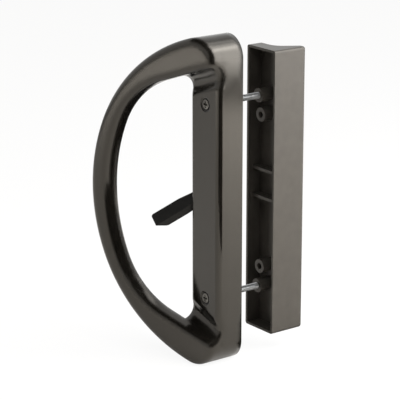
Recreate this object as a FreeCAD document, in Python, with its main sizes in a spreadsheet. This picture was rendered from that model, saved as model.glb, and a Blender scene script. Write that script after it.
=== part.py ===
import FreeCAD, Part
import math
import os
import Sketcher

# Sliding patio door handle set. Millimetres, +Z up. The origin is midway between the two mounting
# screws on the door's inner face: -Y is the room, +Y goes through the door to the outside, and the
# pull bows out to -X.

doc = FreeCAD.newDocument("patio_door_handle")
sheet = doc.addObject("Spreadsheet::Sheet", "sizes")

SIZES = {
    "base_width": 27.6,
    "base_height": 210.0,
    "base_depth": 18.6,
    "base_wall": 3.0,
    "edge_round": 3.4,
    "side_crease": 11.0,
    "side_draft": 2.0,
    "bow_reach": 76.8,
    "bow_width": 12.2,
    "bow_depth": 11.5,
    "bow_tilt": 18.0,
    "bow_standoff": 4.6,
    "bow_sweep": "=(bow_reach ^ 2 + (base_height / 2) ^ 2) / (2 * bow_reach)",
    "bow_middle_radius": "=bow_sweep * 12 / 11",
    "bow_shoulder_radius": "=bow_sweep * 25 / 27",
    "opening_radius": "=bow_sweep * 15 / 14",
    "root_run": 10.6,
    "root_from_end": 26.0,
    "root_height": "=base_height / 2 - root_from_end",
    "root_angle": 20.0,
    "root_blend": 8.0,
    "scoop_depth": 1.2,
    "scoop_edge": 6.0,
    "front_round": "=edge_round - 0.1",
    "back_round": 2.4,
    "far_bevel": 0.8,
    "bevel_end_gap": 2.0,
    "screw_below_root": 16.3,
    "screw_spacing": "=2 * (root_height - screw_below_root)",
    "spare_step": 12.7,
    "spare_spacing": "=screw_spacing - 2 * spare_step",
    "screw_diameter": 4.17,
    "screw_length": 50.8,
    "screw_head": 8.2,
    "seat_drop": 0.5,
    "seat_play": 0.45,
    "head_dome": 0.6,
    "head_brim": 0.36,
    "head_crown": 5.4,
    "cross_width": 4.4,
    "cross_slot": 1.1,
    "cross_depth": 2.0,
    "screw_hole_play": 0.25,
    "thread_play": 0.02,
    "post_diameter": 9.0,
    "door_thickness": 25.0,
    "outer_width": 27.6,
    "outer_height": 185.4,
    "outer_depth": 25.0,
    "outer_wall": 1.6,
    "flange_depth": 11.4,
    "lip_thickness": 5.0,
    "finger_round": 10.0,
    "outer_round": 2.25,
    "outer_edge": 1.6,
    "trough_width": 5.0,
    "trough_depth": 15.0,
    "rib_thickness": 2.0,
    "rib_drop": 4.0,
    "upper_rib": 12.8,
    "lower_rib": 5.7,
    "spigot_height": 2.0,
    "pivot_height": 15.0,
    "hub_diameter": 15.0,
    "hub_length": 9.0,
    "hub_play": 0.05,
    "lever_length": 48.0,
    "lever_width": 10.4,
    "lever_neck": 8.2,
    "lever_thickness": 5.2,
    "lever_bend": 39.0,
    "lever_angle": 44.0,
    "lever_throw": 70.0,
    "lever_flare": 8.1,
    "lever_tip": 1.5,
    "lever_bevel": 2.6,
    "lever_gap": 1.0,
    "collar_wall": 2.4,
    "washer_thickness": 0.6,
    "ring_thickness": 0.8,
    "blade_width": 6.4,
    "blade_thickness": 1.6,
    "blade_reach": 8.5,
    "blade_grip": 6.0,
    "ring_bore": 9.0,
    "arm_middle": "=base_depth - base_wall - washer_thickness - hub_length / 2",
    "arm_reach": "=base_width / 2 + lever_neck / 2 * sin(lever_angle * 1 deg)",
    "bend_start": "=arm_reach / cos(lever_angle * 1 deg) + lever_gap / 2",
}
for row, (alias, size) in enumerate(SIZES.items(), start=1):
    sheet.set(f"A{row}", alias)
    sheet.set(f"B{row}", str(size))
    sheet.setAlias(f"B{row}", alias)
doc.recompute()


def number(alias):
    return float(sheet.get(alias))


def point(across, up):
    return FreeCAD.Vector(across, up, 0)


def new_body(label):
    body = doc.addObject("PartDesign::Body", label)
    body.Label = label
    return body


def new_sketch(body, name, plane, offset=None):
    sketch = body.newObject("Sketcher::SketchObject", name)
    support = next(f for f in body.Origin.OriginFeatures if f.Role == plane)
    sketch.AttachmentSupport = [(support, "")]
    sketch.MapMode = "FlatFace"
    if offset:
        sketch.setExpression("AttachmentOffset.Base.z", offset)
    return sketch


def bind(sketch, size, start, *constraint):
    index = sketch.addConstraint(Sketcher.Constraint(*constraint, start))
    sketch.setExpression(f"Constraints[{index}]", size)


def place(sketch, item, end, across, up):
    spot = sketch.getPoint(item, end)
    for kind, axis, size, start in (("DistanceX", -2, across, spot.x), ("DistanceY", -1, up, spot.y)):
        if size == "0":
            sketch.addConstraint(Sketcher.Constraint("PointOnObject", item, end, axis))
        elif size.startswith("-"):
            bind(sketch, size[1:], -start, kind, item, end, -1, 1)
        else:
            bind(sketch, size, start, kind, -1, 1, item, end)


def add_polygon(sketch, corners):
    count = len(corners)
    first = sketch.GeometryCount
    around = [point(math.cos(math.tau * i / count), math.sin(math.tau * i / count)) for i in range(count)]
    for i in range(count):
        sketch.addGeometry(Part.LineSegment(around[i], around[(i + 1) % count]))
    for i in range(count):
        sketch.addConstraint(
            Sketcher.Constraint("Coincident", first + i, 2, first + (i + 1) % count, 1)
        )
        place(sketch, first + i, 1, *corners[i])


def add_circle(sketch, across, up, diameter):
    item = sketch.addGeometry(Part.Circle(point(0, 0), FreeCAD.Vector(0, 0, 1), 1))
    place(sketch, item, 3, across, up)
    bind(sketch, diameter, 2, "Diameter", item)


def add_arc(sketch, centre, radius, start, end):
    circle = Part.Circle(centre, FreeCAD.Vector(0, 0, 1), radius)
    return sketch.addGeometry(Part.ArcOfCircle(circle, start, end))


def join_smoothly(sketch, item, end, other, other_end):
    sketch.addConstraint(Sketcher.Constraint("Tangent", item, end, other, other_end))


def raise_pad(body, name, sketch, length, symmetric=False, reverse=False):
    pad = body.newObject("PartDesign::Pad", name)
    pad.Profile = sketch
    pad.setExpression("Length", length)
    pad.SideType = "Symmetric" if symmetric else "One side"
    pad.Reversed = reverse


def cut_pocket(body, name, sketch, length, symmetric=False, reverse=False):
    pocket = body.newObject("PartDesign::Pocket", name)
    pocket.Profile = sketch
    pocket.setExpression("Length", length)
    pocket.SideType = "Symmetric" if symmetric else "One side"
    pocket.Reversed = reverse


def dress_edges(body, kind, name, wanted):
    doc.recompute()
    last = body.Tip
    dressed = body.newObject(f"PartDesign::{kind}", name)
    dressed.Base = (last, [f"Edge{i}" for i, edge in enumerate(last.Shape.Edges, start=1) if wanted(edge)])
    return dressed


def round_edges(body, name, radius, wanted):
    dress_edges(body, "Fillet", name, wanted).setExpression("Radius", radius)
    doc.recompute()


def bevel_edges(body, name, size, wanted):
    dress_edges(body, "Chamfer", name, wanted).setExpression("Size", size)
    doc.recompute()


def samples(edge):
    # points along an edge, its ends among them
    span = edge.LastParameter - edge.FirstParameter
    return [edge.valueAt(edge.FirstParameter + span * i / steps) for i in range(steps + 1)]


def crossing(centre, radius, other, other_radius):
    # the left one of the two points where two circles cross
    gap = other - centre
    along = (radius**2 - other_radius**2 + gap.Length**2) / (2 * gap.Length)
    off = math.sqrt(radius**2 - along**2)
    unit = gap.normalize()
    return centre + unit * along + point(unit.y, -unit.x) * off


def heading(start, end):
    # the direction from the start to the end, as an angle between 0 and a full turn
    return math.atan2(end.y - start.y, end.x - start.x) % math.tau


def mirrored(spot):
    return point(spot.x, -spot.y)


touch = 0.001  # a point this near to a face lies on it
steps = 4
half = "sizes.base_width / 2"
end_height = "(sizes.base_height / 2 - sizes.base_width / 2)"
tilt = "tan(sizes.bow_tilt * 1 deg)"
rise = "tan(sizes.root_angle * 1 deg)"
front = "(sizes.base_depth + sizes.bow_standoff + sizes.bow_depth / 2)"
back = "(sizes.base_depth + sizes.bow_standoff - sizes.bow_depth / 2)"
far = "(sizes.bow_reach + sizes.base_width)"
deep = f"({front} + {far} * {tilt} + sizes.base_width)"

# The pull: its front view, one casting drawn towards the room
pull = new_body("inside_pull")
outline = new_sketch(pull, "pull_outline", "XZ_Plane")
end_radius = number("base_width") / 2
end_centre = point(0, number("base_height") / 2 - end_radius)
middle_radius = number("bow_middle_radius")
shoulder_radius = number("bow_shoulder_radius")
middle_centre = point(middle_radius - number("bow_reach"), 0)
shoulder_centre = crossing(
    end_centre, shoulder_radius - end_radius, middle_centre, middle_radius - shoulder_radius
)
end_turn = heading(shoulder_centre, end_centre)
middle_turn = heading(middle_centre, shoulder_centre)
wall = outline.addGeometry(
    Part.LineSegment(point(end_radius, -end_centre.y), point(end_radius, end_centre.y))
)
top_end = add_arc(outline, end_centre, end_radius, 0, end_turn)
top_shoulder = add_arc(outline, shoulder_centre, shoulder_radius, end_turn, middle_turn)
middle = add_arc(outline, middle_centre, middle_radius, middle_turn, math.tau - middle_turn)
low_shoulder = add_arc(
    outline, mirrored(shoulder_centre), shoulder_radius, math.tau - middle_turn, math.tau - end_turn
)
low_end = add_arc(outline, mirrored(end_centre), end_radius, math.tau - end_turn, math.tau)
loop = [wall, top_end, top_shoulder, middle, low_shoulder, low_end]
for i, item in enumerate(loop):
    join_smoothly(outline, item, 2, loop[(i + 1) % len(loop)], 1)
place(outline, top_end, 3, "0", end_height)
place(outline, low_end, 3, "0", "-" + end_height)
place(outline, middle, 3, "sizes.bow_middle_radius - sizes.bow_reach", "0")
bind(outline, half, end_radius, "Radius", top_end)
bind(outline, "sizes.bow_middle_radius", middle_radius, "Radius", middle)
bind(outline, "sizes.bow_shoulder_radius", shoulder_radius, "Radius", top_shoulder)
outline.addConstraint(Sketcher.Constraint("Equal", top_shoulder, low_shoulder))
outline.addConstraint(Sketcher.Constraint("Equal", top_end, low_end))
raise_pad(pull, "pull_block", outline, deep)

# The bow slants away from the door, so its front and back are cut in the top view
band = new_sketch(pull, "bow_band", "XY_Plane")
add_polygon(
    band,
    [
        (far, f"-({front} - {far} * {tilt})"),
        ("-" + far, f"-({front} + {far} * {tilt})"),
        ("-" + far, f"-({deep} + {far})"),
        (far, f"-({deep} + {far})"),
    ],
)
add_polygon(
    band,
    [
        (f"-({half})", f"-({back} + {half} * {tilt})"),
        ("-" + far, f"-({back} + {far} * {tilt})"),
        ("-" + far, far),
        (f"-({half})", far),
    ],
)
cut_pocket(pull, "bow_slant", band, "sizes.base_height * 2", symmetric=True)

# The near side has a crease, and leans back from it towards the front
lean = "tan(sizes.side_draft * 1 deg)"
draft = new_sketch(pull, "side_draft", "XY_Plane")
add_polygon(
    draft,
    [
        (half, "-sizes.side_crease"),
        (f"({half} - ({deep} + {far} - sizes.side_crease) * {lean})", f"-({deep} + {far})"),
        (far, f"-({deep} + {far})"),
        (far, "-sizes.side_crease"),
    ],
)
cut_pocket(pull, "side_draft_cut", draft, "sizes.base_height * 2", symmetric=True)

# The hand opening inside the bow
opening = new_sketch(pull, "hand_opening", "XZ_Plane")
inner_reach = number("bow_reach") - number("bow_width")
opening_radius = number("opening_radius")
opening_centre = point(opening_radius - inner_reach, 0)
root_turn = math.pi / 2 + math.radians(number("root_angle"))
root_top = point(-end_radius, number("root_height"))
lift = point(math.cos(root_turn), math.sin(root_turn))
run = point(-lift.y, lift.x)
corner_start = root_top + run * number("root_run")
span = corner_start - opening_centre
corner_radius = (opening_radius**2 - span.dot(span)) / (2 * (opening_radius - span.dot(lift)))
corner_centre = corner_start - lift * corner_radius
corner_turn = heading(opening_centre, corner_centre)
far_wall = opening.addGeometry(Part.LineSegment(mirrored(root_top), root_top))
top_root = opening.addGeometry(Part.LineSegment(corner_start, root_top))
top_corner = add_arc(opening, corner_centre, corner_radius, root_turn, corner_turn)
inner = add_arc(opening, opening_centre, opening_radius, corner_turn, math.tau - corner_turn)
low_corner = add_arc(
    opening, mirrored(corner_centre), corner_radius, math.tau - corner_turn, math.tau - root_turn
)
low_root = opening.addGeometry(Part.LineSegment(mirrored(corner_start), mirrored(root_top)))
opening.addConstraint(Sketcher.Constraint("Coincident", far_wall, 2, top_root, 2))
opening.addConstraint(Sketcher.Constraint("Coincident", far_wall, 1, low_root, 2))
join_smoothly(opening, top_root, 1, top_corner, 1)
join_smoothly(opening, top_corner, 2, inner, 1)
join_smoothly(opening, inner, 2, low_corner, 1)
join_smoothly(opening, low_corner, 2, low_root, 1)
place(opening, far_wall, 2, f"-({half})", "sizes.root_height")
place(opening, far_wall, 1, f"-({half})", "-sizes.root_height")
place(opening, inner, 3, "sizes.opening_radius - sizes.bow_reach + sizes.bow_width", "0")
bind(opening, "sizes.root_angle * 1 deg", math.radians(number("root_angle")), "Angle", top_root)
bind(opening, "sizes.opening_radius", opening_radius, "Radius", inner)
bind(opening, "sizes.root_run", number("root_run"), "Distance", top_root)
opening.addConstraint(Sketcher.Constraint("Symmetric", top_root, 1, low_root, 1, -1))
cut_pocket(pull, "hand_opening_cut", opening, f"{deep} * 2", reverse=True)


# Between the roots the front drops back to the face that carries the screws
def add_recess(name, offset, height):
    sketch = new_sketch(pull, name, "YZ_Plane", offset)
    depth = number("base_depth")
    blend = number("root_blend")
    top = number("root_height")
    front_end = -number("bow_reach")
    scoop = number("scoop_depth")
    brim = number("scoop_edge")
    hollow_middle = -depth + scoop - blend
    reach_over = brim + blend
    brim_top = top - blend - math.sqrt(reach_over**2 - (reach_over - scoop) ** 2)
    turn = math.acos((reach_over - scoop) / reach_over)
    upper = sketch.addGeometry(Part.LineSegment(point(front_end, top), point(hollow_middle, top)))
    upper_scoop = add_arc(sketch, point(hollow_middle, top - blend), blend, -turn, math.pi / 2)
    upper_brim = add_arc(sketch, point(brim - depth, brim_top), brim, math.pi - turn, math.pi)
    face = sketch.addGeometry(Part.LineSegment(point(-depth, brim_top), point(-depth, -brim_top)))
    lower_brim = add_arc(sketch, point(brim - depth, -brim_top), brim, math.pi, math.pi + turn)
    lower_scoop = add_arc(sketch, point(hollow_middle, blend - top), blend, -math.pi / 2, turn)
    lower = sketch.addGeometry(Part.LineSegment(point(hollow_middle, -top), point(front_end, -top)))
    closing = sketch.addGeometry(Part.LineSegment(point(front_end, -top), point(front_end, top)))
    join_smoothly(sketch, upper, 2, upper_scoop, 2)
    join_smoothly(sketch, upper_scoop, 1, upper_brim, 1)
    join_smoothly(sketch, upper_brim, 2, face, 1)
    join_smoothly(sketch, face, 2, lower_brim, 1)
    join_smoothly(sketch, lower_brim, 2, lower_scoop, 2)
    join_smoothly(sketch, lower_scoop, 1, lower, 1)
    sketch.addConstraint(Sketcher.Constraint("Coincident", lower, 2, closing, 1))
    sketch.addConstraint(Sketcher.Constraint("Coincident", closing, 2, upper, 1))
    for item in (upper, lower):
        sketch.addConstraint(Sketcher.Constraint("Horizontal", item))
    sketch.addConstraint(Sketcher.Constraint("Vertical", face))
    sketch.addConstraint(Sketcher.Constraint("Equal", upper_scoop, lower_scoop))
    sketch.addConstraint(Sketcher.Constraint("Equal", upper_brim, lower_brim))
    place(sketch, upper, 1, "-" + deep, height)
    place(sketch, lower, 2, "-" + deep, "-" + height)
    bind(sketch, "sizes.base_depth", depth, "DistanceX", face, 1, -1, 1)
    bind(sketch, "sizes.root_blend", blend, "Radius", upper_scoop)
    bind(sketch, "sizes.scoop_edge", brim, "Radius", upper_brim)
    for item in (upper_scoop, lower_scoop):
        bind(
            sketch,
            "sizes.base_depth - sizes.scoop_depth + sizes.root_blend",
            -hollow_middle,
            "DistanceX",
            item,
            3,
            -1,
            1,
        )
    return sketch


near_recess = add_recess(
    "near_recess",
    f"{half} + sizes.edge_round",
    f"(sizes.root_height + (sizes.base_width + sizes.edge_round) * {rise})",
)
far_recess = add_recess(
    "far_recess", f"-({half} + sizes.edge_round)", f"(sizes.root_height - sizes.edge_round * {rise})"
)
recess = pull.newObject("PartDesign::SubtractiveLoft", "front_recess")
recess.Profile = near_recess
recess.Sections = [far_recess]
recess.Ruled = True
doc.recompute()

slope = math.tan(math.radians(number("bow_tilt")))
side_slope = math.tan(math.radians(number("side_draft")))
crease = number("side_crease")
front_at_axis = -number("base_depth") - number("bow_standoff") - number("bow_depth") / 2
back_at_axis = front_at_axis + number("bow_depth")


def on_near_side(edge):
    return all(
        abs(p.x - end_radius - (p.y + crease) * side_slope) < touch and p.y < -crease - touch
        for p in samples(edge)
    )


def on_slant(edge, at_axis):
    return all(abs(p.y - at_axis - p.x * slope) < touch for p in samples(edge))


def clear_of_base(edge):
    return all(p.x < -end_radius - touch for p in samples(edge)[1:-1])


round_edges(
    pull,
    "near_rounding",
    "sizes.edge_round",
    lambda e: on_near_side(e) and not on_slant(e, front_at_axis),
)
round_edges(pull, "front_rounding", "sizes.front_round", lambda e: on_slant(e, front_at_axis))
round_edges(
    pull,
    "back_rounding",
    "sizes.back_round",
    lambda e: on_slant(e, back_at_axis) and clear_of_base(e),
)

# The far front edge between the roots is broken by a small bevel
bevel = new_sketch(pull, "far_bevel", "XY_Plane")
add_polygon(
    bevel,
    [
        (f"-({half})", "-(sizes.base_depth - sizes.far_bevel)"),
        (f"-({half})", "-sizes.base_depth"),
        (f"-({half} - sizes.far_bevel)", "-sizes.base_depth"),
    ],
)
cut_pocket(
    pull,
    "far_bevel_cut",
    bevel,
    "(sizes.root_height - sizes.root_blend - sizes.bevel_end_gap) * 2",
    symmetric=True,
)

# The base is hollow from the door side, with a post round each screw
floor = "(sizes.base_depth - sizes.base_wall)"
hollow = new_sketch(pull, "base_hollow", "XZ_Plane")
hollow_radius = end_radius - number("base_wall")
right = hollow.addGeometry(
    Part.LineSegment(point(hollow_radius, -end_centre.y), point(hollow_radius, end_centre.y))
)
top = add_arc(hollow, end_centre, hollow_radius, 0, math.pi)
left = hollow.addGeometry(
    Part.LineSegment(point(-hollow_radius, end_centre.y), point(-hollow_radius, -end_centre.y))
)
low = add_arc(hollow, mirrored(end_centre), hollow_radius, math.pi, math.tau)
loop = [right, top, left, low]
for i, item in enumerate(loop):
    join_smoothly(hollow, item, 2, loop[(i + 1) % len(loop)], 1)
place(hollow, top, 3, "0", end_height)
place(hollow, low, 3, "0", "-" + end_height)
bind(hollow, f"{half} - sizes.base_wall", hollow_radius, "Radius", top)
cut_pocket(pull, "base_hollow_cut", hollow, floor, reverse=True)

screw_height = "sizes.screw_spacing / 2"
posts = new_sketch(pull, "screw_posts", "XZ_Plane")
for height in (screw_height, "-" + screw_height):
    add_circle(posts, "0", height, "sizes.post_diameter")
raise_pad(pull, "screw_posts_pad", posts, f"{floor} + sizes.base_wall / 2")

# A collar on the floor of the hollow is the bearing of the lever's hub, open where the arm swings
bore = "(sizes.hub_diameter + 2 * sizes.hub_play)"
hub_front = f"({floor} - sizes.washer_thickness)"
hub_back = f"({hub_front} - sizes.hub_length)"
collar_end = f"({hub_back} - 2 * sizes.ring_thickness)"
collar = new_sketch(pull, "hub_collar", "XZ_Plane", collar_end)
add_circle(collar, "0", "sizes.pivot_height", f"{bore} + 2 * sizes.collar_wall")
add_circle(collar, "0", "sizes.pivot_height", bore)
raise_pad(pull, "hub_collar_pad", collar, f"{floor} - {collar_end} + sizes.base_wall / 2")
swing = new_sketch(pull, "arm_swing", "XZ_Plane", collar_end)
reach = f"({bore} / 2 + sizes.collar_wall + sizes.lever_gap)"
add_polygon(
    swing,
    [
        ("-sizes.lever_gap", f"sizes.pivot_height + {reach}"),
        (f"-({half} - sizes.base_wall)", f"sizes.pivot_height + {reach}"),
        (f"-({half} - sizes.base_wall)", f"sizes.pivot_height - {reach}"),
        ("-sizes.lever_gap", f"sizes.pivot_height - {reach}"),
    ],
)
cut_pocket(pull, "arm_swing_cut", swing, f"{floor} - {collar_end}", reverse=True)

# The slot in the far wall, whose ends stop the lever
rest = "(sizes.lever_angle * 1 deg)"
raised = "((sizes.lever_throw - sizes.lever_angle) * 1 deg)"
arm_front = "(sizes.arm_middle + sizes.lever_thickness / 2)"
arm_back = "(sizes.arm_middle - sizes.lever_thickness / 2)"
slot = new_sketch(pull, "lever_slot", "YZ_Plane", f"-({half} - sizes.base_wall - sizes.lever_gap)")


def slot_end(turn):
    return f"({half} * tan({turn}) + sizes.lever_neck / 2 / cos({turn}) + sizes.lever_gap)"


slot_low = f"-({slot_end(rest)} - sizes.pivot_height)"
slot_high = f"{slot_end(raised)} + sizes.pivot_height"
add_polygon(
    slot,
    [
        (f"-({arm_front} + sizes.lever_gap)", slot_low),
        (f"-({arm_back} - sizes.lever_gap)", slot_low),
        (f"-({arm_back} - sizes.lever_gap)", slot_high),
        (f"-({arm_front} + sizes.lever_gap)", slot_high),
    ],
)
cut_pocket(pull, "lever_slot_cut", slot, "sizes.base_wall + 2 * sizes.lever_gap")

# Screw holes, countersunk from the front
hole = "(sizes.screw_diameter + 2 * sizes.screw_hole_play)"
holes = new_sketch(pull, "screw_holes", "XZ_Plane")
for height in (screw_height, "-" + screw_height):
    add_circle(holes, "0", height, hole)
cut_pocket(pull, "screw_holes_cut", holes, "sizes.base_depth * 2", reverse=True)
cone_depth = "((sizes.screw_head - sizes.screw_diameter) / 2)"
seat = "(sizes.base_depth - sizes.seat_drop)"
rims = new_sketch(pull, "screw_seats", "XZ_Plane", seat)
for height in (screw_height, "-" + screw_height):
    add_circle(rims, "0", height, "sizes.screw_head + 2 * sizes.seat_play")
cut_pocket(pull, "screw_seats_cut", rims, "sizes.base_depth", reverse=True)
upright = next(f for f in pull.Origin.OriginFeatures if f.Role == "XZ_Plane")
for name, height in (("upper_countersink", screw_height), ("lower_countersink", "-" + screw_height)):
    cone = pull.newObject("PartDesign::SubtractiveCone", name)
    cone.AttachmentSupport = [(upright, "")]
    cone.MapMode = "FlatFace"
    cone.setExpression("AttachmentOffset.Base.y", height)
    cone.setExpression("AttachmentOffset.Base.z", f"{seat} - {cone_depth}")
    cone.setExpression("Radius1", "sizes.screw_diameter / 2")
    cone.setExpression("Radius2", "sizes.screw_head / 2")
    cone.setExpression("Height", cone_depth)

# The screws: an oval countersunk head with a cross recess
screw = new_body("screw")
profile = new_sketch(screw, "screw_profile", "XY_Plane")
tip = f"(sizes.screw_length - {seat})"
add_polygon(
    profile,
    [
        ("0", f"-({seat} + sizes.head_dome)"),
        ("sizes.head_crown / 2", f"-({seat} + sizes.head_brim)"),
        ("sizes.screw_head / 2", "-" + seat),
        ("sizes.screw_diameter / 2", f"-({seat} - {cone_depth})"),
        ("sizes.screw_diameter / 2", f"{tip} - sizes.head_dome"),
        ("sizes.screw_diameter / 2 - sizes.head_dome", tip),
        ("0", tip),
    ],
)
turned = screw.newObject("PartDesign::Revolution", "screw_turned")
turned.Profile = profile
turned.ReferenceAxis = (profile, ["V_Axis"])
cross_floor = f"{seat} + sizes.head_dome - sizes.cross_depth"
cross = new_sketch(screw, "cross_recess", "XZ_Plane", cross_floor)
arm = "sizes.cross_width / 2"
slit = "sizes.cross_slot / 2"
quarter = [(arm, slit), (slit, slit), (slit, arm)]
spots = quarter + [("-" + x, z) for x, z in reversed(quarter)]
spots += [("-" + x, "-" + z) for x, z in quarter] + [(x, "-" + z) for x, z in reversed(quarter)]
add_polygon(cross, spots)
cut_pocket(screw, "cross_recess_cut", cross, "sizes.cross_depth * 2", reverse=True)
screw.setExpression("Placement.Base.z", screw_height)
twin = doc.addObject("Part::Mirroring", "twin_screw")
twin.Source = screw
twin.Normal = (0, 0, 1)
screws = doc.addObject("Part::Compound", "mounting_screws")
screws.Label = "mounting_screws"
screws.Links = [screw, twin]

# The exterior pull: an angle-section casting whose thick edge is the finger grip
outer = new_body("exterior_pull")
side = "sizes.outer_width / 2"
door = "sizes.door_thickness"
section = new_sketch(outer, "pull_section", "XY_Plane")
add_polygon(
    section,
    [
        ("-" + side, door),
        ("-" + side, f"{door} + sizes.flange_depth"),
        ("0", f"{door} + sizes.flange_depth"),
        (f"{side} - sizes.lip_thickness", f"{door} + sizes.outer_depth"),
        (side, f"{door} + sizes.outer_depth"),
        (side, door),
    ],
)
raise_pad(outer, "pull_bar", section, "sizes.outer_height", symmetric=True)
door_face = number("door_thickness")
outside = door_face + number("outer_depth")
flange_face = door_face + number("flange_depth")
outer_side = number("outer_width") / 2
outer_end = number("outer_height") / 2


def upright_at(edge, across, depth):
    return all(math.hypot(p.x - across, p.y - depth) < touch for p in samples(edge))


def on_an_end(edge):
    return all(abs(abs(p.z) - outer_end) < touch for p in samples(edge))


round_edges(outer, "finger_rounding", "sizes.finger_round", lambda e: upright_at(e, 0, flange_face))
lip = outer_side - number("lip_thickness")
grip_corners = [(-outer_side, flange_face), (lip, outside), (outer_side, outside)]
round_edges(
    outer,
    "grip_rounding",
    "sizes.outer_round",
    lambda e: any(upright_at(e, *corner) for corner in grip_corners),
)
round_edges(
    outer,
    "end_rounding",
    "sizes.outer_edge",
    lambda e: on_an_end(e) and samples(e)[steps // 2].y > door_face + touch,
)
inset = f"({side} - sizes.outer_wall)"
inset_end = "(sizes.outer_height / 2 - sizes.outer_wall)"
cavity = new_sketch(outer, "flange_cavity", "XZ_Plane", "-" + door)
add_polygon(
    cavity,
    [(inset, inset_end), ("-" + inset, inset_end), ("-" + inset, "-" + inset_end), (inset, "-" + inset_end)],
)
cut_pocket(outer, "flange_cavity_cut", cavity, "sizes.flange_depth - sizes.outer_wall")
trough = new_sketch(outer, "grip_trough", "XZ_Plane", "-" + door)
trough_left = f"{inset} - sizes.trough_width"
trough_end = f"({inset_end} - sizes.outer_wall)"
add_polygon(
    trough,
    [
        (inset, trough_end),
        (trough_left, trough_end),
        (trough_left, "-" + trough_end),
        (inset, "-" + trough_end),
    ],
)
cut_pocket(outer, "grip_trough_cut", trough, "sizes.trough_depth")
spare_height = "sizes.spare_spacing / 2"
boss_length = "(sizes.flange_depth - sizes.outer_wall / 2)"
ribs = new_sketch(outer, "cross_ribs", "XZ_Plane", f"-({door} + sizes.rib_drop)")
for low_side, high_side in (
    ("sizes.upper_rib - sizes.rib_thickness / 2", "sizes.upper_rib + sizes.rib_thickness / 2"),
    ("-(sizes.lower_rib + sizes.rib_thickness / 2)", "-(sizes.lower_rib - sizes.rib_thickness / 2)"),
):
    add_polygon(
        ribs, [(inset, low_side), (inset, high_side), ("-" + inset, high_side), ("-" + inset, low_side)]
    )
raise_pad(outer, "cross_ribs_pad", ribs, f"{boss_length} - sizes.rib_drop", reverse=True)
spare = new_sketch(outer, "spare_bosses", "XZ_Plane", "-" + door)
for height in (spare_height, "-" + spare_height):
    add_circle(spare, "0", height, "sizes.post_diameter")
raise_pad(outer, "spare_bosses_pad", spare, boss_length, reverse=True)
spigot_start = f"-({door} - sizes.spigot_height)"
spigots = new_sketch(outer, "screw_bosses", "XZ_Plane", spigot_start)
for height in (screw_height, "-" + screw_height):
    add_circle(spigots, "0", height, "sizes.post_diameter")
raise_pad(outer, "screw_bosses_pad", spigots, f"{boss_length} + sizes.spigot_height", reverse=True)
taps = new_sketch(outer, "tapped_holes", "XZ_Plane", spigot_start)
for height in (screw_height, "-" + screw_height, spare_height, "-" + spare_height):
    add_circle(taps, "0", height, "sizes.screw_diameter + 2 * sizes.thread_play")
cut_pocket(outer, "tapped_holes_cut", taps, "sizes.flange_depth - sizes.outer_wall + sizes.spigot_height")

# The latch lever, drawn with its arm along -X from the pivot and then turned to where it rests
lever = new_body("latch_lever")
blade_half = "sizes.lever_width / 2"
neck_half = "sizes.lever_neck / 2"
bend_start = "sizes.bend_start"
flare = f"({bend_start} + sizes.lever_flare)"
arm_outline = new_sketch(lever, "arm_outline", "XZ_Plane")
add_polygon(
    arm_outline,
    [
        ("0", neck_half),
        ("-" + bend_start, neck_half),
        ("-" + flare, blade_half),
        ("-sizes.lever_length", blade_half),
        ("-sizes.lever_length", "-" + blade_half),
        ("-" + flare, "-" + blade_half),
        ("-" + bend_start, "-" + neck_half),
        ("0", "-" + neck_half),
    ],
)
raise_pad(lever, "arm_block", arm_outline, "sizes.lever_length * 2")
bend = "tan(sizes.lever_bend * 1 deg)"
past = "(sizes.lever_length * 1.5)"
wide = "(sizes.lever_length * 3)"
bent = f"({past} - {bend_start}) * {bend}"
arm_band = new_sketch(lever, "arm_band", "XY_Plane")
add_polygon(
    arm_band,
    [
        (past, "-" + arm_front),
        ("-" + bend_start, "-" + arm_front),
        ("-" + past, f"-({arm_front} + {bent})"),
        ("-" + past, "-" + wide),
        (past, "-" + wide),
    ],
)
add_polygon(
    arm_band,
    [
        (past, "-" + arm_back),
        ("-" + bend_start, "-" + arm_back),
        ("-" + past, f"-({arm_back} + {bent})"),
        ("-" + past, wide),
        (past, wide),
    ],
)
cut_pocket(lever, "arm_bend", arm_band, "sizes.lever_width * 4", symmetric=True)
paddle_end = -number("lever_length")
paddle_top = number("lever_width") / 2
neck_low = -number("lever_neck") / 2
bend_line = -number("bend_start")
bend_slope = math.tan(math.radians(number("lever_bend")))


def in_front_below(edge):
    line = samples(edge)
    middle = line[steps // 2]
    ahead = middle.y < -number("arm_middle") - (bend_line - middle.x) * bend_slope
    return ahead and all(p.z < neck_low - touch for p in line[1:-1])


def at_tip_top(edge):
    return all(abs(p.x - paddle_end) < touch and abs(p.z - paddle_top) < touch for p in samples(edge))


bevel_edges(lever, "paddle_bevel", "sizes.lever_bevel", in_front_below)
round_edges(lever, "tip_rounding", "sizes.lever_tip", at_tip_top)
hub = new_sketch(lever, "hub", "XZ_Plane", hub_back)
add_circle(hub, "0", "0", "sizes.hub_diameter")
raise_pad(lever, "hub_pad", hub, "sizes.hub_length")
blade_slot = new_sketch(lever, "blade_slot", "XZ_Plane", hub_back)
blade_corners = [
    ("sizes.blade_thickness / 2", "sizes.blade_width / 2"),
    ("-sizes.blade_thickness / 2", "sizes.blade_width / 2"),
    ("-sizes.blade_thickness / 2", "-sizes.blade_width / 2"),
    ("sizes.blade_thickness / 2", "-sizes.blade_width / 2"),
]
add_polygon(blade_slot, blade_corners)
cut_pocket(lever, "blade_slot_cut", blade_slot, "sizes.blade_grip", reverse=True)

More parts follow.
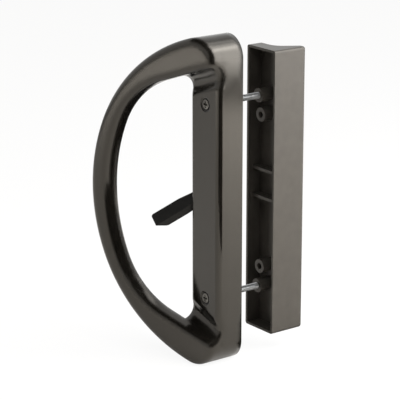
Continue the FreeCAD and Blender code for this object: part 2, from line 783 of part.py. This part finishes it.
# The tailpiece that turns the lock, the friction washer and the ring that keeps the hub in its collar
tailpiece = new_body("tailpiece")
blade = new_sketch(tailpiece, "blade", "XZ_Plane", "-sizes.blade_reach")
add_polygon(blade, blade_corners)
raise_pad(tailpiece, "blade_pad", blade, f"sizes.blade_reach + {hub_back} + sizes.blade_grip")
washer = new_body("friction_washer")
disc = new_sketch(washer, "washer_disc", "XZ_Plane", hub_front)
add_circle(disc, "0", "0", "sizes.hub_diameter")
add_circle(disc, "0", "0", "sizes.ring_bore")
raise_pad(washer, "washer_pad", disc, "sizes.washer_thickness")
ring = new_body("retaining_ring")
hoop = new_sketch(ring, "ring_hoop", "XZ_Plane", f"{hub_back} - sizes.ring_thickness")
add_circle(hoop, "0", "0", bore)
add_circle(hoop, "0", "0", "sizes.ring_bore")
raise_pad(ring, "ring_pad", hoop, "sizes.ring_thickness")
for body in (lever, tailpiece, washer, ring):
    body.setExpression("Placement.Base.z", "sizes.pivot_height")
for body in (lever, tailpiece):
    body.Placement.Rotation = FreeCAD.Rotation(FreeCAD.Vector(0, -1, 0), number("lever_angle"))
    body.setExpression("Placement.Rotation.Angle", "sizes.lever_angle * 1 deg")
doc.recompute()

for item in doc.Objects:
    if "Invalid" in item.State or "Error" in item.State:
        raise RuntimeError(f"{item.Name} did not build")
os.makedirs("parts", exist_ok=True)
for item in (pull, outer, lever, tailpiece, washer, ring, screws):
    if item.Shape.isNull() or not item.Shape.isValid():
        raise RuntimeError(f"{item.Label} has no valid shape")
    item.Shape.exportStep(f"parts/{item.Label}.step")
    print(item.Label, round(item.Shape.Volume), len(item.Shape.Solids))
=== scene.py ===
import math
import bmesh
import bpy
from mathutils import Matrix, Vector


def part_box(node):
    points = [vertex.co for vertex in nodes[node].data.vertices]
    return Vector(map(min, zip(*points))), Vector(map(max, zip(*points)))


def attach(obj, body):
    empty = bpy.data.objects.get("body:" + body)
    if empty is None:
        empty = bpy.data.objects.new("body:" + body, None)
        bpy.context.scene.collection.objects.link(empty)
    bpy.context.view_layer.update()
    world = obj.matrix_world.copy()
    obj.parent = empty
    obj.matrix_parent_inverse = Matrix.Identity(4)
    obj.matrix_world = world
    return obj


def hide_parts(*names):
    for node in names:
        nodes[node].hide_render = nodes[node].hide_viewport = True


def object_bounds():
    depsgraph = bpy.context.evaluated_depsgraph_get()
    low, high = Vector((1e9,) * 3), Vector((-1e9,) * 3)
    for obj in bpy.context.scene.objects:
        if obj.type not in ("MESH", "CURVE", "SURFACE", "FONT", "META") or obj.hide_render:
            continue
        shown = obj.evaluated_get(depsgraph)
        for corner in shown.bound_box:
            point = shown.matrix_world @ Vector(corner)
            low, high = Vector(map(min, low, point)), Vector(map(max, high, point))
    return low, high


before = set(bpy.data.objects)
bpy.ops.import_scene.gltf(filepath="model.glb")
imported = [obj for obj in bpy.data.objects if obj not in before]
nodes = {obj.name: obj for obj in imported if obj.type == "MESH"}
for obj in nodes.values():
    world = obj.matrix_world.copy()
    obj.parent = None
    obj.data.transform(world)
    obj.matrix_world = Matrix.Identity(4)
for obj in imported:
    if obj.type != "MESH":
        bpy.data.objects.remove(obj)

cadLow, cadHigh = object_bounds()  # the CAD box, before any dressing
mm = 0.001
print("frame loaded:", ", ".join(sorted(nodes)))


# shared node helpers
def newMaterial(name):
    mat = bpy.data.materials.new(name)
    mat.use_nodes = True
    tree = mat.node_tree
    return mat, tree, tree.nodes["Principled BSDF"]


def addNode(tree, kind, **settings):
    node = tree.nodes.new(kind)
    for key, value in settings.items():
        if hasattr(node, key):
            setattr(node, key, value)
        else:
            node.inputs[key].default_value = value
    return node


def objectNoise(tree, scale, detail, roughness=0.5):
    coords = addNode(tree, "ShaderNodeTexCoord")
    noise = addNode(tree, "ShaderNodeTexNoise", Scale=scale, Detail=detail, Roughness=roughness)
    tree.links.new(coords.outputs["Object"], noise.inputs["Vector"])
    return noise.outputs["Fac"]


def ramp(tree, source, spots, colours):
    node = addNode(tree, "ShaderNodeValToRGB")
    for element, spot, colour in zip(node.color_ramp.elements, spots, colours):
        element.position = spot
        element.color = (*colour, 1)
    tree.links.new(source, node.inputs["Fac"])
    return node.outputs["Color"]


def grey(level):
    return (level, level, level)


def mapRange(tree, source, before, after):
    node = addNode(tree, "ShaderNodeMapRange")
    node.inputs["From Min"].default_value, node.inputs["From Max"].default_value = before
    node.inputs["To Min"].default_value, node.inputs["To Max"].default_value = after
    tree.links.new(source, node.inputs["Value"])
    return node.outputs["Result"]


def addBump(tree, shader, source, strength, distance):
    bump = addNode(tree, "ShaderNodeBump", Strength=strength, Distance=distance)
    tree.links.new(source, bump.inputs["Height"])
    tree.links.new(bump.outputs["Normal"], shader.inputs["Normal"])
    return bump


def dress(node, mat):
    mesh = nodes[node].data
    mesh.materials.clear()
    mesh.materials.append(mat)


# how every sprayed coat is mixed
coat = {
    "colourSpots": (0.25, 0.75),
    "glossSpots": (0.1, 0.9),
    "detail": 2.0,
    "peelStrength": 0.25,
    "edgeSamples": 8,
}

# gloss dark bronze on the inside pull
paint = {
    "dark": (0.0038, 0.0033, 0.0026),
    "light": (0.0062, 0.0054, 0.0043),
    "gloss": (0.08, 0.12),              # roughness, low and high
    "tint": (1.0, 0.93, 0.83, 1.0),
    "flow": (0.6 * mm, 6.0 * mm),       # reach of the softened light: base, then bow and roots
    "bowFrom": (-8 * mm, -20 * mm),     # the bow begins between these, along x
    "rootsFrom": (66 * mm, 80 * mm),    # and its roots between these, up or down
    "mottle": 90.0,                     # per metre
    "peel": 700.0,                      # orange peel of the sprayed coat
    "peelDepth": 0.01 * mm,
}

# flatter, paler bronze on the exterior pull
flatPaint = {
    "dark": (0.0270, 0.0241, 0.0202),
    "light": (0.0360, 0.0322, 0.0272),
    "gloss": (0.29, 0.34),
    "tint": (0.66, 0.62, 0.57, 1.0),
    "mottle": 140.0,
    "peel": 700.0,
    "peelDepth": 0.01 * mm,
}


def flowReach(tree, settings):
    # narrow along the base, wide on the bow and at its roots
    coords = addNode(tree, "ShaderNodeTexCoord")
    split = addNode(tree, "ShaderNodeSeparateXYZ")
    tree.links.new(coords.outputs["Object"], split.inputs["Vector"])
    height = addNode(tree, "ShaderNodeMath", operation="ABSOLUTE")
    tree.links.new(split.outputs["Z"], height.inputs[0])
    wide = addNode(tree, "ShaderNodeMath", operation="MAXIMUM")
    tree.links.new(mapRange(tree, split.outputs["X"], settings["bowFrom"], (0, 1)), wide.inputs[0])
    tree.links.new(mapRange(tree, height.outputs[0], settings["rootsFrom"], (0, 1)), wide.inputs[1])
    return mapRange(tree, wide.outputs[0], (0, 1), settings["flow"])


def makePaint(name, settings):
    mat, tree, shader = newMaterial(name)
    mottle = objectNoise(tree, settings["mottle"], coat["detail"])
    colour = ramp(tree, mottle, coat["colourSpots"], (settings["dark"], settings["light"]))
    tree.links.new(colour, shader.inputs["Base Color"])
    gloss = ramp(tree, mottle, coat["glossSpots"], [grey(level) for level in settings["gloss"]])
    tree.links.new(gloss, shader.inputs["Roughness"])
    shader.inputs["Specular Tint"].default_value = settings["tint"]
    peel = objectNoise(tree, settings["peel"], coat["detail"])
    bump = addBump(tree, shader, peel, coat["peelStrength"], settings["peelDepth"])
    if "flow" in settings:  # softens the light over each edge, not the shape
        soft = addNode(tree, "ShaderNodeBevel", samples=coat["edgeSamples"])
        tree.links.new(flowReach(tree, settings), soft.inputs["Radius"])
        tree.links.new(soft.outputs["Normal"], bump.inputs["Normal"])
    return mat


dress("inside_pull", makePaint("darkBronzePaint", paint))
dress("exterior_pull", makePaint("flatBronzePaint", flatPaint))
print("castings painted")

# moulded lever, satin black
leverFinish = {
    "dark": (0.0035, 0.0034, 0.0033),
    "light": (0.0060, 0.0058, 0.0055),
    "gloss": (0.29, 0.38),
    "tint": (0.34, 0.33, 0.31, 1.0),
    "mottle": 220.0,
    "peel": 1500.0,
    "peelDepth": 0.02 * mm,
}
dress("latch_lever", makePaint("leverBlack", leverFinish))

# bare steel pieces behind the lever, zinc on the screws
metal = {
    "colourSpots": (0.35, 0.65),
    "glossSpots": (0.3, 0.7),
    "grain": 900.0,
    "detail": 5.0,
    "harshness": 0.6,
    "scratch": 0.15,
    "scratchDepth": 0.03 * mm,
}
steel = {"dark": (0.32, 0.32, 0.33), "light": (0.52, 0.52, 0.53), "gloss": (0.29, 0.42)}
zinc = {"dark": (0.40, 0.41, 0.41), "light": (0.52, 0.52, 0.52), "gloss": (0.3, 0.4)}


def makeMetal(name, settings):
    mat, tree, shader = newMaterial(name)
    shader.inputs["Metallic"].default_value = 1.0
    grain = objectNoise(tree, metal["grain"], metal["detail"], metal["harshness"])
    colour = ramp(tree, grain, metal["colourSpots"], (settings["dark"], settings["light"]))
    tree.links.new(colour, shader.inputs["Base Color"])
    gloss = ramp(tree, grain, metal["glossSpots"], [grey(level) for level in settings["gloss"]])
    tree.links.new(gloss, shader.inputs["Roughness"])
    addBump(tree, shader, grain, metal["scratch"], metal["scratchDepth"])
    return mat


bareSteel = makeMetal("bareSteel", steel)
for part in ("tailpiece", "friction_washer", "retaining_ring"):
    dress(part, bareSteel)
print("lever and steel pieces finished")

# mounting screws: threaded shank, oval head with a groove and a cross recess
screw = {
    "thread": 4.17 * mm,
    "core": 3.25 * mm,
    "pitch": 0.794 * mm,
    "rootFlat": 0.12,       # shares of the thread's flank
    "flank": 0.7,
    "fadeIn": 1,            # in turns
    "fadeOut": 2,
    "tipShare": 0.82,       # of the core
    "neck": 3.0 * mm,       # plain length under the head
    "head": 8.2 * mm,
    "crown": 6.2 * mm,      # domed middle of the head, inside a groove
    "crownEdge": 0.98,      # share of the crown that has the head's paint
    "groove": 0.35 * mm,
    "grooveFloor": 0.3,     # its share of the groove's width
    "dome": 0.6 * mm,
    "domeSteps": 7,
    "around": 28,
    "perTurn": 8,
    "crossWidth": 4.8 * mm,
    "crossSlot": 1.3 * mm,
    "crossDepth": 2.2 * mm,
    "crossTaper": 0.45,
    "sharpAngle": 35,
}
headPaint = {
    "dark": (0.058, 0.0545, 0.048),
    "light": (0.084, 0.079, 0.0695),
    "gloss": (0.2, 0.265),
    "tint": (1.0, 0.95, 0.88, 1.0),
    "mottle": 400.0,
    "peel": 1500.0,
    "peelDepth": 0.01 * mm,
}
# painted shade: near black standing in for the shade in the groove round the crown and under the
# head
recessShadePaint = {
    "dark": (0.0022, 0.0021, 0.0019),
    "light": (0.0036, 0.0034, 0.0031),
    "gloss": (0.5, 0.6),
    "tint": (0.3, 0.29, 0.27, 1.0),
    "mottle": 400.0,
    "peel": 1500.0,
    "peelDepth": 0.01 * mm,
}


def threadRadius(spot, turn, settings):
    core, crest = settings["core"] / 2, settings["thread"] / 2
    phase = (spot / settings["pitch"] - turn) % 1.0
    slope = min(phase, 1.0 - phase) * 2.0  # 0 at the root, 1 at the crest
    rise = (slope - settings["rootFlat"]) / settings["flank"]
    return core + (crest - core) * min(1.0, max(0.0, rise))


def headRings(seat, settings):
    head, crown, crest = settings["head"] / 2, settings["crown"] / 2, settings["thread"] / 2
    rings = []
    for i in range(1, settings["domeSteps"] + 1):
        reach = crown * i / settings["domeSteps"]
        rings.append((seat - settings["dome"] * (1 - (reach / head) ** 2), reach))
    floorEdge = crown + (head - crown) * settings["grooveFloor"]
    rings += [(seat + settings["groove"], crown), (seat + settings["groove"], floorEdge)]
    rings += [(seat, head), (seat + head - crest, crest)]
    return [(spot, [radius] * settings["around"]) for spot, radius in rings]


def shankRings(start, tip, settings):
    core, crest, pitch = settings["core"] / 2, settings["thread"] / 2, settings["pitch"]
    step = pitch / settings["perTurn"]
    rings = []
    for i in range(int((tip - start) / step) + 1):
        spot = start + i * step
        fadeIn = min(1.0, (spot - start) / (settings["fadeIn"] * pitch))
        fadeOut = min(1.0, (tip - spot) / (settings["fadeOut"] * pitch))
        row = []
        for k in range(settings["around"]):
            radius = threadRadius(spot, k / settings["around"], settings)
            radius = crest + (radius - crest) * fadeIn
            row.append(core + (radius - core) * fadeOut)
        rings.append((spot, row))
    rings.append((tip, [core * settings["tipShare"]] * settings["around"]))
    return rings


def addScrew(work, height, seat, tip, settings):
    coneEnd = seat + (settings["head"] - settings["thread"]) / 2
    rings = headRings(seat, settings) + shankRings(coneEnd + settings["neck"], tip, settings)
    around = settings["around"]
    rows = []
    for spot, radii in rings:
        row = []
        for k, radius in enumerate(radii):
            angle = math.tau * k / around
            x, z = radius * math.cos(angle), radius * math.sin(angle)
            row.append(work.verts.new((x, spot, height + z)))
        rows.append(row)
    crown = work.verts.new((0, seat - settings["dome"], height))
    for k in range(around):
        work.faces.new((crown, rows[0][k], rows[0][(k + 1) % around]))
    for upper, lower in zip(rows, rows[1:]):
        for k in range(around):
            n = (k + 1) % around
            work.faces.new((upper[k], lower[k], lower[n], upper[n]))
    work.faces.new(list(reversed(rows[-1])))


def addCrossCutter(work, height, seat, settings):
    arm, slot, taper = settings["crossWidth"] / 2, settings["crossSlot"] / 2, settings["crossTaper"]
    quarter = [(arm, slot), (slot, slot), (slot, arm)]
    corners = []
    for turn in range(4):
        for x, z in quarter:
            for _ in range(turn):
                x, z = -z, x
            corners.append((x, z))
    top = seat - settings["dome"] * 2
    deep = seat - settings["dome"] + settings["crossDepth"]
    upper = [work.verts.new((x, top, height + z)) for x, z in corners]
    lower = [work.verts.new((x * taper, deep, height + z * taper)) for x, z in corners]
    work.faces.new(upper)
    work.faces.new(list(reversed(lower)))
    for k in range(len(corners)):
        n = (k + 1) % len(corners)
        work.faces.new((upper[k], lower[k], lower[n], upper[n]))


def toObject(work, name):
    bmesh.ops.recalc_face_normals(work, faces=work.faces)
    mesh = bpy.data.meshes.new(name)
    work.to_mesh(mesh)
    work.free()
    obj = bpy.data.objects.new(name, mesh)
    bpy.context.scene.collection.objects.link(obj)
    return obj


def carve(piece, tool):
    cut = piece.modifiers.new("cross", "BOOLEAN")
    cut.object = tool
    cut.solver = "EXACT"
    depsgraph = bpy.context.evaluated_depsgraph_get()
    mesh = bpy.data.meshes.new_from_object(piece.evaluated_get(depsgraph))
    piece.modifiers.clear()
    piece.data = mesh
    bpy.data.objects.remove(tool)
    return mesh


screwLow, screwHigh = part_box("mounting_screws")
screwHeight = screwHigh.z - screw["head"] / 2
seat = screwLow.y + screw["dome"]
body, cutter = bmesh.new(), bmesh.new()
for height in (screwHeight, -screwHeight):
    addScrew(body, height, seat, screwHigh.y, screw)
    addCrossCutter(cutter, height, seat, screw)
screwPiece = toObject(body, "threadedScrews")
carved = carve(screwPiece, toObject(cutter, "crossCutter"))
carved.polygons.foreach_set("use_smooth", [True] * len(carved.polygons))
carved.set_sharp_from_angle(angle=math.radians(screw["sharpAngle"]))

# zinc on the shank, bronze on the crown, near black painted shade in the groove and under the head
carved.materials.clear()
carved.materials.append(makeMetal("zincPlate", zinc))
carved.materials.append(makePaint("screwHeadPaint", headPaint))
carved.materials.append(makePaint("recessShadePaint", recessShadePaint))
zincSlot, headSlot, recessShadeSlot = range(3)
coneEnd = seat + (screw["head"] - screw["thread"]) / 2
crownEnd = screw["crown"] / 2 * screw["crownEdge"]
for face in carved.polygons:
    outward = math.hypot(face.center.x, abs(face.center.z) - screwHeight)
    if face.center.y > coneEnd:
        face.material_index = zincSlot
    # the groove and the faces under the head get the near black painted shade
    elif outward > crownEnd or face.center.y > seat:
        face.material_index = recessShadeSlot
    else:
        face.material_index = headSlot
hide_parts("mounting_screws")
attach(screwPiece, "handle")
print("screws cut:", len(carved.polygons), "faces")

# camera at the photograph's viewing angle
camera = {
    "azimuth": 53.15,
    "elevation": 16.34,
    "distance": 1.2,
    "lens": 168.69,
    "sensor": 36.0,
    "aim": (-0.03003, 0, -0.00845),
    "clip": (0.05, 20.0),
}

# studio, in metres: pale floor, soft lamps, white surround
studio = {
    "floorSize": 8.0,
    "floorColour": (0.86, 0.84, 0.805),
    "floorDip": 0.985,      # tone between the paper's fibres
    "floorGrain": (400.0, 4.0),
    "floorGlow": 0.9,       # share of plain white that the camera sees on the floor
    "surround": 0.5,        # soft fill
    "paperSpots": (0.3, 0.7),
    "paperRoughness": 0.95,
}
lamps = {
    "key": {"place": (-0.7, -1.1, 1.15), "size": (0.9, 0.9), "power": 0.3},
    "side": {"place": (0.48, 0.36, 0.24), "size": (0.7, 0.68), "power": 9.8},
    "top": {"place": (0.35, 0.75, 1.0), "size": (0.9, 0.9), "power": 5.0},
    "front": {"place": (0.55, -0.41, 0.95), "size": (0.5, 0.5), "power": 4.0},
    # these two light the floor below them, at the right and in front
    "wash": {"place": (0.26, 0.2, 0.45), "aim": (0.26, 0.2, 0), "size": (0.3, 0.3), "power": 1.0},
    "frontWash": {
        "place": (-0.25, -0.92, 0.25),
        "aim": (-0.25, -0.92, -0.1),
        "size": (0.35, 0.35),
        "power": 5.0,
        "shaded": True,     # kept out of reflections
    },
}
cards = {
    "near": 0.36,           # the front card, from the origin towards the camera
    "far": 1.5,
    "nearSides": (0.4, 0.18),
    "farSides": (0.8, 0.4),
    "rise": 1.0,
    "under": ((-0.22, 0.01), (0.03, 0.01), (0.03, 0.36), (-0.22, 0.36)),
    "side": ((0.25, -0.2, 0), (0.25, 0.08, 0), (0.25, 0.08, 0.7), (0.25, -0.2, 0.7)),
    "top": ((-0.6, -1.2, 0.85), (0.8, -1.2, 0.85), (0.8, 0.2, 0.85), (-0.6, 0.2, 0.85)),
    "lift": 0.001,          # above the floor
    "tones": (0.012, 0.018),
    "grain": (300.0, 3.0),
}


def makePaper(name, grain, tones):
    mat, tree, shader = newMaterial(name)
    fibre = objectNoise(tree, *grain)
    tree.links.new(ramp(tree, fibre, studio["paperSpots"], tones), shader.inputs["Base Color"])
    shader.inputs["Roughness"].default_value = studio["paperRoughness"]
    shader.inputs["Specular IOR Level"].default_value = 0.0
    return mat, tree, shader


def addFloor(settings):
    half = settings["floorSize"] / 2
    work = bmesh.new()
    corners = ((-half, -half), (half, -half), (half, half), (-half, half))
    work.faces.new([work.verts.new((x, y, cadLow.z)) for x, y in corners])
    floor = toObject(work, "studioFloor")
    tone = settings["floorColour"]
    dip = tuple(c * settings["floorDip"] for c in tone)
    mat, tree, shader = makePaper("floorPaper", settings["floorGrain"], (dip, tone))
    white = addNode(tree, "ShaderNodeEmission", Color=(1, 1, 1, 1))
    path = addNode(tree, "ShaderNodeLightPath")
    share = addNode(tree, "ShaderNodeMath", operation="MULTIPLY")
    share.inputs[1].default_value = settings["floorGlow"]
    blend = addNode(tree, "ShaderNodeMixShader")
    tree.links.new(path.outputs["Is Camera Ray"], share.inputs[0])
    tree.links.new(share.outputs[0], blend.inputs[0])
    tree.links.new(shader.outputs[0], blend.inputs[1])
    tree.links.new(white.outputs[0], blend.inputs[2])
    tree.links.new(blend.outputs[0], tree.nodes["Material Output"].inputs["Surface"])
    floor.data.materials.append(mat)


def addSurround(settings):
    world = bpy.data.worlds.new("studio")
    world.use_nodes = True
    tree = world.node_tree
    fill = tree.nodes["Background"]
    fill.inputs["Color"].default_value = (1, 1, 1, 1)
    fill.inputs["Strength"].default_value = settings["surround"]
    seen = addNode(tree, "ShaderNodeBackground", Color=(1, 1, 1, 1), Strength=1.0)
    path = addNode(tree, "ShaderNodeLightPath")
    seenRay = addNode(tree, "ShaderNodeMath", operation="MAXIMUM")
    clearRay = addNode(tree, "ShaderNodeMath", operation="MAXIMUM")
    blend = addNode(tree, "ShaderNodeMixShader")
    tree.links.new(path.outputs["Is Camera Ray"], seenRay.inputs[0])
    tree.links.new(path.outputs["Is Glossy Ray"], seenRay.inputs[1])
    tree.links.new(seenRay.outputs[0], clearRay.inputs[0])
    tree.links.new(path.outputs["Is Transmission Ray"], clearRay.inputs[1])
    tree.links.new(clearRay.outputs[0], blend.inputs[0])
    tree.links.new(fill.outputs[0], blend.inputs[1])
    tree.links.new(seen.outputs[0], blend.inputs[2])
    tree.links.new(blend.outputs[0], tree.nodes["World Output"].inputs["Surface"])
    bpy.context.scene.world = world


def frontCard(settings, azimuth):
    # along the floor towards the camera, then up
    ahead = Vector((math.sin(azimuth), -math.cos(azimuth), 0))
    across = Vector((ahead.y, -ahead.x, 0))
    near, far = ahead * settings["near"], ahead * settings["far"]
    top = far + Vector((0, 0, settings["rise"]))
    nearRight, nearLeft = (across * side for side in settings["nearSides"])
    farRight, farLeft = (across * side for side in settings["farSides"])
    floorPart = (near - nearRight, near + nearLeft, far + farLeft, far - farRight)
    return [floorPart, (far - farRight, far + farLeft, top + farLeft, top - farRight)]


def addCards(settings, azimuth):
    # dark cards that only reflections see
    panels = frontCard(settings, azimuth) + [settings[key] for key in ("under", "side", "top")]
    work = bmesh.new()
    level = Vector((0, 0, cadLow.z + settings["lift"]))
    for panel in panels:
        work.faces.new([work.verts.new(Vector(p).to_3d() + level) for p in panel])
    card = toObject(work, "darkCards")
    tones = [grey(tone) for tone in settings["tones"]]
    card.data.materials.append(makePaper("cardBlack", settings["grain"], tones)[0])
    card.visible_camera = card.visible_diffuse = card.visible_shadow = False


def addLamp(name, settings):
    lamp = bpy.data.lights.new(name, "AREA")
    lamp.shape = "RECTANGLE"
    lamp.size, lamp.size_y = settings["size"]
    lamp.energy = settings["power"]
    obj = bpy.data.objects.new(name, lamp)
    obj.location = settings["place"]
    aim = Vector(settings.get("aim", (0, 0, 0)))
    obj.rotation_mode = "QUATERNION"
    obj.rotation_quaternion = (aim - obj.location).to_track_quat("-Z", "Y")
    obj.visible_camera = False
    obj.visible_glossy = not settings.get("shaded", False)
    bpy.context.scene.collection.objects.link(obj)


addFloor(studio)
addSurround(studio)
addCards(cards, math.radians(camera["azimuth"]))
for name, settings in lamps.items():
    addLamp(name + "Lamp", settings)
print("studio lit:", len(lamps), "lamps")


def addCamera(settings):
    turn, rise = math.radians(settings["azimuth"]), math.radians(settings["elevation"])
    level = math.cos(rise)
    back = Vector((math.sin(turn) * level, -math.cos(turn) * level, math.sin(rise)))
    lens = bpy.data.cameras.new("photoCamera")
    lens.lens = settings["lens"]
    lens.sensor_width = settings["sensor"]
    lens.clip_start, lens.clip_end = settings["clip"]
    obj = bpy.data.objects.new("photoCamera", lens)
    obj.location = Vector(settings["aim"]) + back * settings["distance"]
    obj.rotation_mode = "QUATERNION"
    obj.rotation_quaternion = (-back).to_track_quat("-Z", "Y")
    bpy.context.scene.collection.objects.link(obj)
    bpy.context.scene.camera = obj


addCamera(camera)
bpy.context.scene.view_settings.view_transform = "Standard"

print("scene ready")
